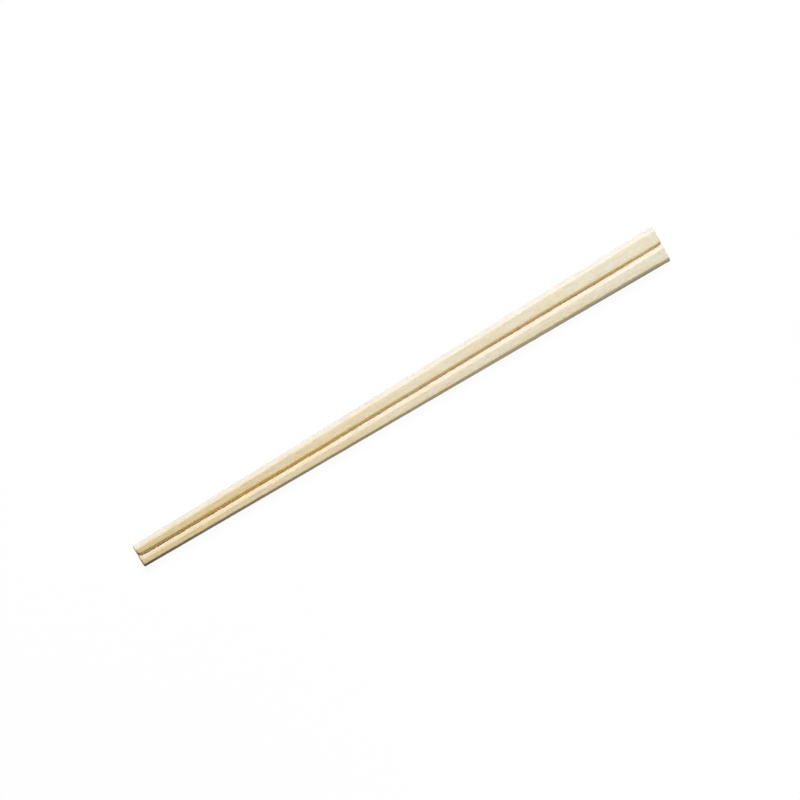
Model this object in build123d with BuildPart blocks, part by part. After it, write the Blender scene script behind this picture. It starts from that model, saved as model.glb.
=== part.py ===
from build123d import *

import os
from math import sqrt

# A pair of disposable wooden chopsticks, still joined at the head.
# One wooden blank is planed to a taper, bevelled along its outer corners, grooved
# down the middle of both faces and slit from the tips almost to the head. The thin
# web that the slit leaves at the head is what the user snaps.
#
# All sizes are in millimetres. The pair lies on its underside: X runs from the
# eating tips to the head, Y across the two sticks, and Z up. The origin is under the
# middle of the length, on the table.

# Blank
length = 203.0
head_width = 13.0
tip_width = 7.7
thickness = 4.4

# Planed profile
outer_bevel = 1.1
groove_width = 2.3
groove_depth = 1.1
tip_drift = 0.15

# Slit between the sticks, which gapes at the tips, is tight from the middle on, and
# leaves a web at the head
slit_at_tips = 0.35
tight_slit = 0.12
gape_length = 92.0
web_length = 15.0
saw_radius = 50.0
saw_overcut = 3.0
saw_lead_in = 1.0

# Corners softened by tumbling
long_edge_round = 0.15
end_round = 0.2

tip_end = -length / 2
head_end = length / 2
mid_height = thickness / 2
groove_root = thickness - groove_depth

# The groove and the slit follow one straight line, off centre by the drift at the
# tips and centred at the head
middle = (0, -tip_drift / 2, mid_height)
along = Vector(length, tip_drift, 0)
plan = Plane(origin=middle, x_dir=along, z_dir=(0, 0, 1))
cross_section = Plane(origin=middle, x_dir=plan.y_dir, z_dir=plan.x_dir)
side_view = Plane(origin=middle, x_dir=plan.x_dir, z_dir=-plan.y_dir)

# The saw stops where it has cut the upper groove root up to the web
axle_height = saw_radius - saw_overcut
saw_reach = sqrt(saw_radius**2 - (axle_height - groove_root) ** 2)
axle_stop = head_end - web_length - saw_reach
axle_start = tip_end - saw_radius
cut_start = tip_end - saw_lead_in
gape_end = tip_end + gape_length

with BuildPart() as slit:
    # What a round saw clears, seen from the side, as it runs in from the tips
    with BuildSketch(side_view):
        with Locations(((axle_start + axle_stop) / 2, axle_height - mid_height)):
            SlotCenterToCenter(axle_stop - axle_start, 2 * saw_radius)
    extrude(amount=slit_at_tips, both=True)

    # Seen from above, it gapes towards the tips, where the sticks spring apart
    with BuildSketch(plan):
        with BuildLine():
            Polyline(
                (cut_start, -slit_at_tips / 2),
                (gape_end, -tight_slit / 2),
                (head_end, -tight_slit / 2),
                (head_end, tight_slit / 2),
                (gape_end, tight_slit / 2),
                (cut_start, slit_at_tips / 2),
                close=True,
            )
        make_face()
    extrude(amount=thickness, both=True, mode=Mode.INTERSECT)

with BuildPart() as chopstick_pair:
    # Blank, wide at the head and narrow at the tips
    with BuildSketch():
        with BuildLine():
            Polyline(
                (tip_end, -tip_width / 2),
                (head_end, -head_width / 2),
                (head_end, head_width / 2),
                (tip_end, tip_width / 2),
                close=True,
            )
        make_face()
    extrude(amount=thickness)

    # Bevels along the four outer corners, which follow the taper
    outer_corners = edges().group_by(SortBy.LENGTH)[-1]
    chamfer(outer_corners, length=outer_bevel)

    # Grooves in the upper and the lower face, from end to end
    with BuildSketch(cross_section):
        with BuildLine():
            Polyline(
                (-groove_width / 2, mid_height),
                (0, mid_height - groove_depth),
                (groove_width / 2, mid_height),
                close=True,
            )
        make_face()
        mirror(about=Plane.XZ)
    extrude(amount=length, both=True, mode=Mode.SUBTRACT)

    # Long corners that a hand feels: all but the two groove roots
    long_corners = edges().filter_by(
        lambda edge: edge.length > length / 2 and abs(edge.center().Y) > groove_width / 4
    )
    fillet(long_corners, radius=long_edge_round)

    # Rims of the two square-sawn ends
    end_rims = faces().sort_by(Axis.X)[0].edges() + faces().sort_by(Axis.X)[-1].edges()
    fillet(end_rims, radius=end_round)

    add(slit.part, mode=Mode.SUBTRACT)

chopstick_pair.part.label = "chopstick_pair"

os.makedirs("parts", exist_ok=True)
export_step(chopstick_pair.part, "parts/chopstick_pair.step")
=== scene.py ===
import random
from math import cos, pi, radians, sin, sqrt

import bmesh
import bpy
from mathutils import Matrix, Vector, noise


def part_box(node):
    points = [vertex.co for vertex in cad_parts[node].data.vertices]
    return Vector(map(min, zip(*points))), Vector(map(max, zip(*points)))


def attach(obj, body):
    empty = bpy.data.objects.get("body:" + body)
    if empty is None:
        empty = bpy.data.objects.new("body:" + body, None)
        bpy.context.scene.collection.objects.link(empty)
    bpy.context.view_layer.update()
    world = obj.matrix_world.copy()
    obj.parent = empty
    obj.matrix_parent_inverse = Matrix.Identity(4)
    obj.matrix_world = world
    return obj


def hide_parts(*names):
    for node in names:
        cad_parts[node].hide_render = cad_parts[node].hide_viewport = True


# A pair of disposable wooden chopsticks, still joined at the head.
# Everything is in metres, in the part's frame: X from the eating tips to the head,
# Y across the two sticks and Z up from the table.

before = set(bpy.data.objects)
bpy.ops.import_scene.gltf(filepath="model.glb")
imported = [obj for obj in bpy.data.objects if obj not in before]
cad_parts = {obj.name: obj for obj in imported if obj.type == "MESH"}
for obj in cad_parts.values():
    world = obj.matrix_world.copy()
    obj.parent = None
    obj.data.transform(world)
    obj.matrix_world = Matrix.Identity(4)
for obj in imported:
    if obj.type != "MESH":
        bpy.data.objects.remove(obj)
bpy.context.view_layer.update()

MM = 0.001

low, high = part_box("chopstick_pair")
tip_end, head_end = low.x, high.x
length = head_end - tip_end
thickness = high.z - low.z
mid_height = thickness / 2
head_half = high.y
tip_half = 3.85 * MM

outer_bevel = 1.1 * MM
groove_half = 1.15 * MM
groove_depth = 1.1 * MM
tip_drift = 0.15 * MM

slit_at_tips = 0.35 * MM
tight_slit = 0.12 * MM
gape_end = tip_end + 92 * MM
web_start = head_end - 15 * MM
saw_radius = 50 * MM
saw_overcut = 3 * MM

end_round = 0.2 * MM
arris_round = 0.12 * MM
groove_lip_round = 0.25 * MM

# What the planer and the saw leave uneven
bevel_unevenness = 0.09 * MM
edge_hollows = 0.05 * MM
least_opening = 0.004 * MM
web_front_reach = 12 * MM

# How far the stain and the painted shade reach from the slit or the groove
stain_at_tips = 2.2 * MM
stain_at_head = 0.9 * MM
slit_shade_reach = 0.5 * MM
shaded_wall_reach = 0.75 * MM

# The stick is first made at the size of its head, and then drawn in to the taper
flat_edge = head_half - outer_bevel
blank_slit_half = tight_slit / 2
root_height = mid_height - groove_depth + blank_slit_half

stations = 540
strips_across = 6
widest_uncut = 0.5 * MM
fibre_count = 170
fibre_sunk = 0.02 * MM


def blend(low_value, high_value, share):
    """A value on the way from one to the other, held between them."""
    share = min(max(share, 0.0), 1.0)
    return low_value + (high_value - low_value) * share


def ease(share):
    """A share that leaves 0 and reaches 1 gently."""
    share = min(max(share, 0.0), 1.0)
    return share * share * (3 - 2 * share)


def runs_across(edge):
    """Whether an edge lies across the stick and not along it."""
    a, b = (v.co for v in edge.verts)
    return abs(a.x - b.x) < 0.2 * (a - b).length


# Wooden pair


def corners_with_mitres(bm, nearest, furthest):
    """The long corners between two distances from the middle, followed round the end rims."""
    long_edges = [e for e in bm.edges if e.calc_length() > length / 2]
    chain = [e for e in long_edges if nearest < e.verts[0].co.y < furthest]
    for corner in [v for e in chain for v in e.verts]:
        passed = {corner}
        while True:
            onward = [
                e
                for e in corner.link_edges
                if e not in chain
                and e.other_vert(corner) not in passed
                and not runs_across(e)
            ]
            if not onward:
                break
            chain.append(onward[0])
            corner = onward[0].other_vert(corner)
            passed.add(corner)
    return chain


def stick_blank():
    """The stick on the +Y side as a straight bar with its bevels, rims and arrises."""
    bm = bmesh.new()
    section = [
        (groove_half, thickness),
        (flat_edge, thickness),
        (head_half, thickness - outer_bevel),
        (head_half, outer_bevel),
        (flat_edge, 0),
        (groove_half, 0),
        (blank_slit_half, mid_height - root_height),
        (blank_slit_half, mid_height + root_height),
    ]
    end_face = bm.faces.new([bm.verts.new((tip_end, y, z)) for y, z in section])
    drawn = bmesh.ops.extrude_face_region(bm, geom=[end_face])["geom"]
    drawn_corners = [g for g in drawn if isinstance(g, bmesh.types.BMVert)]
    bmesh.ops.translate(bm, verts=drawn_corners, vec=(length, 0, 0))

    soften = {
        "offset_type": "OFFSET",
        "profile": 0.5,
        "affect": "EDGES",
        "material": -1,
        "clamp_overlap": False,
    }
    rims = [e for e in bm.edges if runs_across(e)]
    bmesh.ops.bevel(bm, geom=rims, offset=end_round, segments=3, **soften)
    arrises = corners_with_mitres(bm, (groove_half + flat_edge) / 2, 2 * head_half)
    bmesh.ops.bevel(bm, geom=arrises, offset=arris_round, segments=3, **soften)
    lips = corners_with_mitres(bm, groove_half / 2, (groove_half + flat_edge) / 2)
    bmesh.ops.bevel(bm, geom=lips, offset=groove_lip_round, segments=4, **soften)

    wide = [e for e in bm.edges if runs_across(e) and e.calc_length() > widest_uncut]
    bmesh.ops.subdivide_edges(bm, edges=wide, cuts=strips_across - 1)
    along = [e for e in bm.edges if e.calc_length() > length / 2]
    bmesh.ops.subdivide_edges(bm, edges=along, cuts=stations - 1)
    bmesh.ops.recalc_face_normals(bm, faces=bm.faces)
    return bm


def join_at_web(bm):
    """Opens the inner wall where the web will be, mirrors the stick and joins the two."""
    inside = [
        f
        for f in bm.faces
        if f.calc_center_median().x > web_start
        and f.calc_center_median().y < blank_slit_half + end_round
        and f.normal.y < -0.05
        and abs(f.normal.z) < 0.2
    ]
    bmesh.ops.delete(bm, geom=inside, context="FACES")
    whole = bm.verts[:] + bm.edges[:] + bm.faces[:]
    bmesh.ops.mirror(bm, geom=whole, axis="Y", merge_dist=0)
    open_edges = [e for e in bm.edges if e.is_boundary]
    bmesh.ops.bridge_loops(bm, edges=open_edges)
    bmesh.ops.recalc_face_normals(bm, faces=bm.faces)


def saw_front(z):
    """Where the round saw stopped, at a height inside the web."""
    axle_height = saw_radius - saw_overcut
    root = mid_height + root_height
    z = blend(mid_height - root_height, root, (z - mid_height + root_height) / (2 * root_height))
    reach = sqrt(saw_radius**2 - (axle_height - z) ** 2)
    return web_start + reach - sqrt(saw_radius**2 - (axle_height - root) ** 2)


def half_width(x):
    """Half the planed width of the pair."""
    return blend(tip_half, head_half, (x - tip_end) / length)


def slit_half(x, side, z):
    """Half the slit's opening on one side: torn where it gapes, clean where it is tight."""
    gape = blend(1, 0, (x - tip_end) / (gape_end - tip_end))
    clean = blend(tight_slit, slit_at_tips, gape) / 2
    if x > web_start:
        return blend(clean, clean / 4, (x - web_start) / (2 * MM))
    loose = ease(gape * 4)
    short_tear = noise.noise(Vector((x / (0.9 * MM), 7.3 * side, z / (1.6 * MM))))
    long_tear = noise.noise(Vector((x / (4.0 * MM), 3.1 * side, 5.0)))
    tear = 0.7 * short_tear + 0.6 * long_tear
    closed = clean * 0.35 * loose
    return max(clean - closed + tear * clean * (0.3 + 0.7 * loose), least_opening)


def swell(x, centre, reach):
    """A gentle hump at a distance from the tips: 1 at its centre and 0 from its reach on."""
    return ease(1 - abs(x - tip_end - centre) / reach)


def groove_offset(x):
    """How far the groove wanders off the middle of the pair, towards -Y."""
    straight = blend(tip_drift, 0, (x - tip_end) / length)
    tips = 0.08 * swell(x, 20 * MM, 45 * MM) - 0.14 * swell(x, 0, 25 * MM)
    tips -= 0.6 * swell(x, 0, 1.4 * MM)
    middle = 0.17 * swell(x, 63 * MM, 35 * MM) + 0.13 * swell(x, 85 * MM, 60 * MM)
    head = 0.17 * swell(x, length, 55 * MM) - 0.3 * swell(x, length, 1.8 * MM)
    return straight + (tips + middle + head) * MM


def bevel_width(x, side):
    """The planed width of an outer bevel, which on the -Y side grows towards the head."""
    if side > 0:
        return outer_bevel - 0.1 * MM
    growth_start = tip_end + 85 * MM
    growth_at_head = 0.4 * MM
    return outer_bevel + growth_at_head * ease((x - growth_start) / (90 * MM))


def mark_surfaces(bm):
    """Marks the place across each stick, the stain beside the groove, and the painted shade on
    the groove's walls, on the -Y bevel and on the tip end.

    Across runs from 0 at a stick's -Y side to 1 at its +Y side.
    """
    across = bm.verts.layers.float.new("across")
    stain_and_shade = bm.verts.layers.float.new("stain_and_shade")
    slit_shade = bm.verts.layers.float.new("slit_shade")
    painted_shade = bm.verts.layers.float.new("painted_shade")
    shaded_wall = bm.verts.layers.float.new("shaded_wall")
    for v in bm.verts:
        a = abs(v.co.y)
        upper_stick = v.co.y > 0
        v[across] = a / head_half if upper_stick else 1 - a / head_half
        from_tips = (v.co.x - tip_end) / length
        if upper_stick:
            edge = groove_half
            spread = blend(stain_at_tips, stain_at_head, from_tips / 0.5)
        else:
            edge = 0.3 * MM
            spread = 0.1 * MM
        # A stain on the upper stick's flat beside the groove, and painted shade over that stick's
        # groove wall, which faces -Y, and at the lower stick's groove root
        stain_and_shade_share = 1 - 0.75 * swell(v.co.x, 0, 24 * MM)
        stain_and_shade_share *= blend(1, 0.5, (from_tips - 0.33) / 0.1)
        v[stain_and_shade] = stain_and_shade_share * ease(1 - (a - edge) / spread)
        # Painted shade at the bottom of the groove, on both walls beside the slit
        v[slit_shade] = ease(1 - (a - blank_slit_half) / slit_shade_reach)
        # Painted shade on the upper stick's groove wall near the slit, which faces -Y away from
        # the lamp
        v[shaded_wall] = ease(1 - (a - blank_slit_half) / shaded_wall_reach) if upper_stick else 0
        # Painted shade on the lower stick's -Y bevel, which faces away from the lamp: darkest
        # near the tips and at the very tip, and on its outer part towards the head
        if a > flat_edge + 0.2 * MM and not upper_stick:
            bevel_shade = 0.58 * ease(1 - from_tips / 0.42) + 0.25 * ease(1 - from_tips / 0.14)
            bevel_shade += 0.5 * ease(1 - from_tips / 0.03)
            bevel_shade += 0.6 * ease((from_tips - 0.6) / 0.35) * ease((a - flat_edge) / outer_bevel)
            on_bevel = ease((v.co.z - mid_height) / (mid_height - outer_bevel))
            v[painted_shade] = min(bevel_shade, 1) * on_bevel
        # Painted shade on the tip end, darker towards each stick's -Y side, away from the lamp
        on_tip_end = from_tips < 0.002
        if on_tip_end:
            v[painted_shade] = max(v[painted_shade], 0.8 * (1 - v[across]))


def wobble(x, side, top, period, seed):
    """A slow unevenness along an edge, from -1 to 1."""
    return noise.noise(Vector((x / period, 11.0 * side + seed, 5.0 * top)))


def draw_to_taper(bm):
    """Moves the straight bar's points to the taper, the open slit and the groove's drift."""
    for v in bm.verts:
        x, y, z = v.co
        side = 1 if y > 0 else -1
        a = abs(y)
        near_front = ease(1 - abs(x - web_start) / web_front_reach)
        x += near_front * (saw_front(z) - web_start)

        half = half_width(x)
        bevel = bevel_width(x, side)
        top = 1 if z > mid_height else -1
        if a >= flat_edge:
            up_bevel = (abs(z - mid_height) - mid_height + outer_bevel) / outer_bevel
            uneven = wobble(x, side, top, 6 * MM, 0.5) + 0.6 * wobble(x, side, top, 1.7 * MM, 3.5)
            a -= head_half - half
            a += (outer_bevel - bevel + bevel_unevenness * uneven) * min(max(up_bevel, 0), 1)
            a -= edge_hollows * abs(wobble(x, side, 0, 9 * MM, 8.5))
        elif a > groove_half:
            share = (a - groove_half) / (flat_edge - groove_half)
            a = blend(groove_half, half - bevel, share)
        else:
            opening = slit_half(x, side, z)
            share = (groove_half - a) / (groove_half - blank_slit_half)
            shift = (opening - blank_slit_half) * share
            a += shift
            above = (z - mid_height) / root_height
            z += shift * min(max(above, -1), 1)

        hold = blend(1, 0, (a - groove_half) / (half - bevel - groove_half))
        v.co = (x, side * a - groove_offset(x) * hold, z)


def mesh_object(name, bm, materials):
    """A finished piece: smooth faces, its materials, at the frame's origin."""
    mesh = bpy.data.meshes.new(name)
    for f in bm.faces:
        f.smooth = True
    bm.to_mesh(mesh)
    bm.free()
    for material in materials:
        mesh.materials.append(material)
    piece = bpy.data.objects.new(name, mesh)
    bpy.context.scene.collection.objects.link(piece)
    return piece


# Materials


def add(tree, kind, inputs=None, **settings):
    """A shader node with its settings, and its inputs set to values or linked to sockets."""
    made = tree.nodes.new("ShaderNode" + kind)
    for name, value in settings.items():
        setattr(made, name, value)
    for name, value in (inputs or {}).items():
        if isinstance(value, bpy.types.NodeSocket):
            tree.links.new(value, made.inputs[name])
        else:
            made.inputs[name].default_value = value
    return made


def math(tree, operation, *values):
    """A Math node's result."""
    made = add(tree, "Math", dict(enumerate(values)), operation=operation)
    return made.outputs[0]


def ramp(tree, value, start, end, to_start=0.0, to_end=1.0):
    """A value's share of the way from start to end, held between the two results."""
    inputs = {
        "Value": value,
        "From Min": start,
        "From Max": end,
        "To Min": to_start,
        "To Max": to_end,
    }
    return add(tree, "MapRange", inputs).outputs["Result"]


def mix(tree, share, low_colour, high_colour, blend_type="MIX"):
    """A mix of two colours."""
    inputs = {0: share, 6: low_colour, 7: high_colour}
    return add(tree, "Mix", inputs, data_type="RGBA", blend_type=blend_type).outputs[2]


def grained(tree, vector, along, across, detail=3.0, roughness=0.55):
    """Noise drawn out along the stick: its period along and across, in metres."""
    scale = (1 / along, 1 / across, 1 / across)
    stretched = add(tree, "Mapping", {"Vector": vector, "Scale": scale}).outputs[0]
    inputs = {"Vector": stretched, "Scale": 1.0, "Detail": detail, "Roughness": roughness}
    return add(tree, "TexNoise", inputs).outputs["Fac"]


def wood_figure_group():
    """Growth rings, fibres and pores of pale straight-grained wood, from a place in it."""
    group = bpy.data.node_groups.new("wood_figure", "ShaderNodeTree")
    face = group.interface
    face.new_socket("Place", in_out="INPUT", socket_type="NodeSocketVector")
    face.new_socket("Ring Strength", in_out="INPUT", socket_type="NodeSocketFloat")
    face.new_socket("Fibre Strength", in_out="INPUT", socket_type="NodeSocketFloat")
    face.new_socket("Figure", in_out="OUTPUT", socket_type="NodeSocketFloat")
    face.new_socket("Shade", in_out="OUTPUT", socket_type="NodeSocketFloat")
    face.new_socket("Pores", in_out="OUTPUT", socket_type="NodeSocketFloat")
    face.new_socket("Height", in_out="OUTPUT", socket_type="NodeSocketFloat")
    given = group.nodes.new("NodeGroupInput").outputs
    result = group.nodes.new("NodeGroupOutput").inputs
    place = given["Place"]

    # Rings of a large log lie nearly flat in the blank and wander slowly along it
    wander = grained(group, place, 70 * MM, 9 * MM, detail=1.0)
    z = add(group, "SeparateXYZ", {"Vector": place}).outputs["Z"]
    depth = math(group, "MULTIPLY_ADD", wander, 9 * MM, z)
    turn = math(group, "FRACT", math(group, "DIVIDE", depth, 1.7 * MM))
    late_wood = math(group, "POWER", turn, 3.0)
    rings = math(group, "MULTIPLY", late_wood, given["Ring Strength"])

    broad = grained(group, place, 18 * MM, 1.6 * MM, detail=2.0)
    flecks = grained(group, place, 2.2 * MM, 0.55 * MM, detail=2.0)
    fine = grained(group, place, 9 * MM, 0.2 * MM, detail=4.0)
    fibres = math(group, "ADD", broad, math(group, "MULTIPLY_ADD", flecks, 0.9, fine))
    centred = math(group, "SUBTRACT", fibres, 1.45)
    streaks = math(group, "MULTIPLY", centred, given["Fibre Strength"])
    figure = math(group, "ADD", rings, streaks)

    # Short flecks and soft clouds that are a little lighter or darker than the rest
    short = grained(group, place, 1.5 * MM, 0.4 * MM, detail=2.0)
    clouds = grained(group, place, 5.0 * MM, 1.1 * MM, detail=2.0)
    uneven = math(group, "ADD", short, math(group, "MULTIPLY", clouds, 0.6))
    shade = ramp(group, uneven, 0.5, 1.1, 0.89, 1.11)

    specks = grained(group, place, 1.6 * MM, 0.07 * MM, detail=1.0)
    pores = ramp(group, specks, 0.64, 0.72)
    height = math(group, "SUBTRACT", fine, math(group, "MULTIPLY", pores, 0.8))
    group.links.new(figure, result["Figure"])
    group.links.new(shade, result["Shade"])
    group.links.new(pores, result["Pores"])
    group.links.new(height, result["Height"])
    return group


# The wood's colours, as linear light, with golden where a stick faces -Y as painted shade and
# pale where it faces +Y as painted sheen, and each of them less yellow at the head than at the
# tips
GOLDEN_TIP, GOLDEN_HEAD = (0.69, 0.53, 0.27, 1), (0.84, 0.745, 0.505, 1)
PLAIN_TIP, PLAIN_MIDDLE = (0.71, 0.59, 0.34, 1), (0.82, 0.73, 0.55, 1)
PLAIN_HEAD = (0.83, 0.78, 0.65, 1)
# Painted sheen for the +Y-facing bevel and groove wall
PAINTED_SHEEN_TIP, PAINTED_SHEEN_HEAD = (0.74, 0.68, 0.58, 1), (0.72, 0.665, 0.62, 1)
# Painted light: the colour of the +Y side wall, which faces the lamp
LIT_SIDE_TIP, LIT_SIDE_HEAD = (0.78, 0.75, 0.69, 1), (0.86, 0.83, 0.79, 1)
WARM_FLECK, COOL_FLECK = (1.03, 1.0, 0.93, 1), (0.98, 1.0, 1.05, 1)

# What the stain and the painted shade multiply those colours by
# Stain beside the groove, and painted shade on the groove's shaded wall and root
STAIN_AND_SHADE_TINT = (1.14, 0.98, 0.59, 1)
# Painted shade for the bottom of the groove beside the slit
SLIT_SHADE_TINT = (0.76, 0.64, 0.48, 1)
# Painted shade for the -Y bevel and the tip end
PAINTED_SHADE_TINT = (0.40, 0.37, 0.32, 1)
# Brown painted shade for the groove's shaded wall
SHADED_WALL_TINT = (0.80, 0.63, 0.34, 1)
PORE_TINT = (0.72, 0.62, 0.48, 1)


def bare_wood(name, figure, ring_strength, fibre_strength, roughness, relief_depth):
    """Unvarnished wood, paler at the head and more golden at the tips."""
    material = bpy.data.materials.new(name)
    material.use_nodes = True
    tree = material.node_tree
    surface = tree.nodes["Principled BSDF"]
    place = add(tree, "TexCoord").outputs["Object"]
    across, stain_and_shade, slit_shade, painted_shade, shaded_wall = (
        add(tree, "Attribute", attribute_name=mark).outputs["Fac"]
        for mark in ("across", "stain_and_shade", "slit_shade", "painted_shade", "shaded_wall")
    )
    grain = add(tree, "Group", {"Place": place}, node_tree=figure)
    grain.inputs["Ring Strength"].default_value = ring_strength
    grain.inputs["Fibre Strength"].default_value = fibre_strength

    x, y = add(tree, "SeparateXYZ", {"Vector": place}).outputs[:2]
    to_head = ramp(tree, x, tip_end, head_end)
    golden = mix(tree, to_head, GOLDEN_TIP, GOLDEN_HEAD)
    plain = mix(tree, ramp(tree, x, tip_end, 0.0), PLAIN_TIP, PLAIN_MIDDLE)
    plain = mix(tree, ramp(tree, x, 0.0, head_end), plain, PLAIN_HEAD)
    pale = mix(tree, to_head, PAINTED_SHEEN_TIP, PAINTED_SHEEN_HEAD)

    # Painted shade: each stick more golden towards its -Y side, which faces away from the lamp;
    # the figure adds the rings and streaks
    shaded_side_share = math(tree, "POWER", ramp(tree, across, 0.8, 0.0), 1.5)
    golden_share = math(tree, "ADD", shaded_side_share, grain.outputs["Figure"])
    coloured = mix(tree, golden_share, plain, golden)
    # Painted sheen: the +Y-facing outer bevel and groove wall paler, where the lamp lights them
    coloured = mix(tree, ramp(tree, across, 0.83, 0.96), coloured, pale)
    # Painted light: a lighter colour on the +Y side wall, which faces the lamp
    side = mix(tree, to_head, LIT_SIDE_TIP, LIT_SIDE_HEAD)
    coloured = mix(tree, ramp(tree, across, 0.98, 1.0), coloured, side)

    def tinted(strength, tint):
        return mix(tree, strength, coloured, mix(tree, 1.0, coloured, tint, "MULTIPLY"))

    # The stick on the +Y side is of slightly lighter wood
    lighter_stick = ramp(tree, y, -4 * MM, 4 * MM, 0.98, 1.03)
    tone = math(tree, "MULTIPLY", grain.outputs["Shade"], lighter_stick)
    coloured = mix(tree, 1.0, coloured, tone, "MULTIPLY")
    warmth = ramp(tree, grained(tree, place, 3.5 * MM, 0.8 * MM, detail=2.0), 0.3, 0.7)
    coloured = mix(tree, 1.0, coloured, mix(tree, warmth, COOL_FLECK, WARM_FLECK), "MULTIPLY")
    coloured = tinted(math(tree, "MULTIPLY", grain.outputs["Pores"], 0.4), PORE_TINT)

    # Stained beside the groove, with painted shade over the groove's shaded wall and root, and
    # painted shade: in patches beside the slit, brown on the shaded wall towards the head, and
    # dark on the -Y bevel and the tip end
    blotches = grained(tree, place, 2.2 * MM, 0.7 * MM)
    even = ramp(tree, x, tip_end, -0.15 * length, 0.3, 0.9)
    patchy = ramp(tree, blotches, 0.38, 0.58, even, 0.9)
    # Stain beside the groove, with painted shade over the groove's shaded wall and root
    coloured = tinted(math(tree, "MULTIPLY", stain_and_shade, patchy), STAIN_AND_SHADE_TINT)
    # Painted shade in patches at the bottom of the groove beside the slit
    slit_shade_share = ramp(tree, x, tip_end, 30 * MM, 0.55, 0.45)
    slit_shade_patches = math(tree, "MULTIPLY", ramp(tree, blotches, 0.58, 0.42), slit_shade_share)
    coloured = tinted(math(tree, "MULTIPLY", slit_shade, slit_shade_patches), SLIT_SHADE_TINT)
    # Brown painted shade on the groove's shaded wall, growing towards the head
    deep = ramp(tree, x, 0.0, 0.32 * length, 0.0, 1.0)
    coloured = tinted(math(tree, "MULTIPLY", shaded_wall, deep), SHADED_WALL_TINT)
    # Painted shade on the -Y bevel and the tip end
    coloured = tinted(painted_shade, PAINTED_SHADE_TINT)
    tree.links.new(coloured, surface.inputs["Base Color"])
    surface.inputs["Roughness"].default_value = roughness
    surface.inputs["Specular IOR Level"].default_value = 0.4
    relief = add(tree, "Bump", {"Height": grain.outputs["Height"], "Distance": relief_depth})
    tree.links.new(relief.outputs["Normal"], surface.inputs["Normal"])
    return material


def chopsticks(planed, sawn):
    """The pair as one piece of wood, in place of the plain solid."""
    bm = stick_blank()
    join_at_web(bm)
    mark_surfaces(bm)
    draw_to_taper(bm)
    bm.normal_update()
    for f in bm.faces:
        if abs(f.normal.x) > 0.95:
            f.material_index = 1
    piece = mesh_object("chopsticks", bm, [planed, sawn])
    crisp = piece.modifiers.new("crisp_flats", "WEIGHTED_NORMAL")
    crisp.mode = "FACE_AREA"
    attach(piece, "root")
    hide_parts("chopstick_pair")


def torn_fibres(wood):
    """Slivers that the saw has left standing along the slit, most of them near the tips."""
    bm = bmesh.new()
    chance = random.Random(5)
    for _ in range(fibre_count):
        x = tip_end + 2 * MM + (gape_end - tip_end) * chance.random() ** 1.5
        side = chance.choice((-1, 1))
        reach = chance.uniform(1.2, 4.0) * MM
        thick = chance.uniform(0.03, 0.07) * MM
        root = blend(slit_at_tips, tight_slit, (x - tip_end) / (gape_end - tip_end)) / 2
        height = mid_height + chance.choice((-1, 1)) * (root_height - fibre_sunk)
        lean = Matrix.Rotation(pi / 2 + chance.uniform(-0.05, 0.05), 4, "Y")
        splay = Matrix.Rotation(chance.uniform(-0.06, 0.06), 4, "Z")
        spot = Matrix.Translation((x, side * root - groove_offset(x), height))
        bmesh.ops.create_cone(
            bm,
            cap_ends=True,
            segments=5,
            radius1=thick,
            radius2=thick * 0.3,
            depth=reach,
            matrix=spot @ splay @ lean,
        )
    piece = mesh_object("torn_fibres", bm, [wood])
    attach(piece, "root")


# Floor, light and camera


def pale_floor():
    """A white floor that keeps a light shadow of the pair."""
    half_size = 6.0
    glow_share = 0.95
    as_lit, as_seen = (0.6, 0.6, 0.6, 1), (1, 1, 1, 1)

    bm = bmesh.new()
    bmesh.ops.create_grid(bm, x_segments=1, y_segments=1, size=half_size)
    material = bpy.data.materials.new("white_floor")
    material.use_nodes = True
    tree = material.node_tree
    surface = tree.nodes["Principled BSDF"]
    tree.nodes.remove(surface)
    ray = add(tree, "LightPath").outputs
    seen = math(tree, "MAXIMUM", ray["Is Camera Ray"], ray["Is Glossy Ray"])
    seen = math(tree, "MAXIMUM", seen, ray["Is Transmission Ray"])
    paper = add(tree, "BsdfDiffuse", {"Color": mix(tree, seen, as_lit, as_seen)})
    glow = add(tree, "Emission", {"Color": (1, 1, 1, 1), "Strength": 1.0})
    share = math(tree, "MULTIPLY", seen, glow_share)
    both = add(tree, "MixShader", {0: share, 1: paper.outputs[0], 2: glow.outputs[0]})
    tree.links.new(both.outputs[0], tree.nodes["Material Output"].inputs["Surface"])
    floor = mesh_object("floor", bm, [material])


def white_world(level):
    """Even light from all round, and a white background for the camera."""
    world = bpy.data.worlds.new("studio")
    bpy.context.scene.world = world
    world.use_nodes = True
    tree = world.node_tree
    ray = add(tree, "LightPath").outputs
    seen = math(tree, "MAXIMUM", ray["Is Camera Ray"], ray["Is Transmission Ray"])
    strength = ramp(tree, seen, 0.0, 1.0, level, 1.0)
    background = tree.nodes["Background"]
    background.inputs["Color"].default_value = (1, 1, 1, 1)
    tree.links.new(strength, background.inputs["Strength"])


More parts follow.
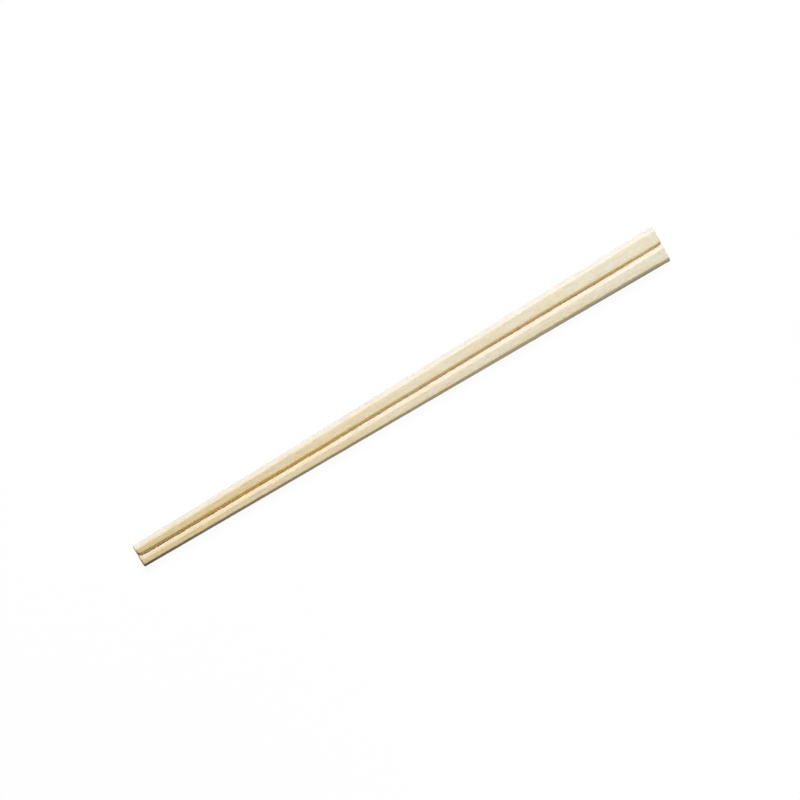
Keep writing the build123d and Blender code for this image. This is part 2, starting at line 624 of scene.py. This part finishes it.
def soft_lamp(name, direction, distance, size, level):
    """A square lamp that gives a face turned to it that much light, where 1 is full white."""
    lamp = bpy.data.lights.new(name, "AREA")
    lamp.shape = "SQUARE"
    lamp.size = size
    lamp.energy = level * pi**2 * distance**2
    holder = bpy.data.objects.new(name, lamp)
    direction = Vector(direction).normalized()
    holder.location = direction * distance
    holder.rotation_mode = "QUATERNION"
    holder.rotation_quaternion = direction.to_track_quat("Z", "Y")
    bpy.context.scene.collection.objects.link(holder)


def photo_camera():
    """Looks down on the pair as in the photograph, where it lies across the square frame."""
    frame_pixels = 800
    pair_pixels = 611.6
    turn_in_frame = radians(30.95)
    tilt_to_side = radians(11)
    tilt_to_tips = radians(6)
    distance = 2.0
    sensor_width = 36
    looked_at = Vector((-0.4 * MM, -0.03 * MM, mid_height))

    back = Vector((-sin(tilt_to_tips), sin(tilt_to_side), 1))
    back.z = sqrt(1 - back.x**2 - back.y**2)
    along = Vector((1, 0, 0))
    along = (along - back * along.dot(back)).normalized()
    across = back.cross(along)
    right = cos(turn_in_frame) * along - sin(turn_in_frame) * across
    up = sin(turn_in_frame) * along + cos(turn_in_frame) * across

    camera = bpy.data.cameras.new("camera")
    camera.sensor_width = sensor_width
    camera.lens = sensor_width * (pair_pixels / frame_pixels) * distance / length
    camera.clip_start = 0.05
    holder = bpy.data.objects.new("camera", camera)
    holder.matrix_world = Matrix((right, up, back)).transposed().to_4x4()
    holder.location = looked_at + back * distance
    bpy.context.scene.collection.objects.link(holder)
    bpy.context.scene.camera = holder


figure = wood_figure_group()
planed_wood = bare_wood(
    "planed_wood",
    figure,
    ring_strength=0.4,
    fibre_strength=1.7,
    roughness=0.6,
    relief_depth=0.02 * MM,
)
sawn_ends = bare_wood(
    "sawn_ends",
    figure,
    ring_strength=0.8,
    fibre_strength=2.0,
    roughness=0.85,
    relief_depth=0.05 * MM,
)
fibre_wood = bare_wood(
    "fibre_wood",
    figure,
    ring_strength=0.3,
    fibre_strength=2.0,
    roughness=0.8,
    relief_depth=0.02 * MM,
)
chopsticks(planed_wood, sawn_ends)
torn_fibres(fibre_wood)
pale_floor()
white_world(level=0.05)
soft_lamp("window", (0.12, 0.775, 0.93), distance=1.4, size=0.6, level=1.19)
soft_lamp("side_fill", (0.035, -0.2, 0.12), distance=0.23, size=0.1, level=0.13)
photo_camera()
bpy.context.scene.view_settings.view_transform = "Standard"
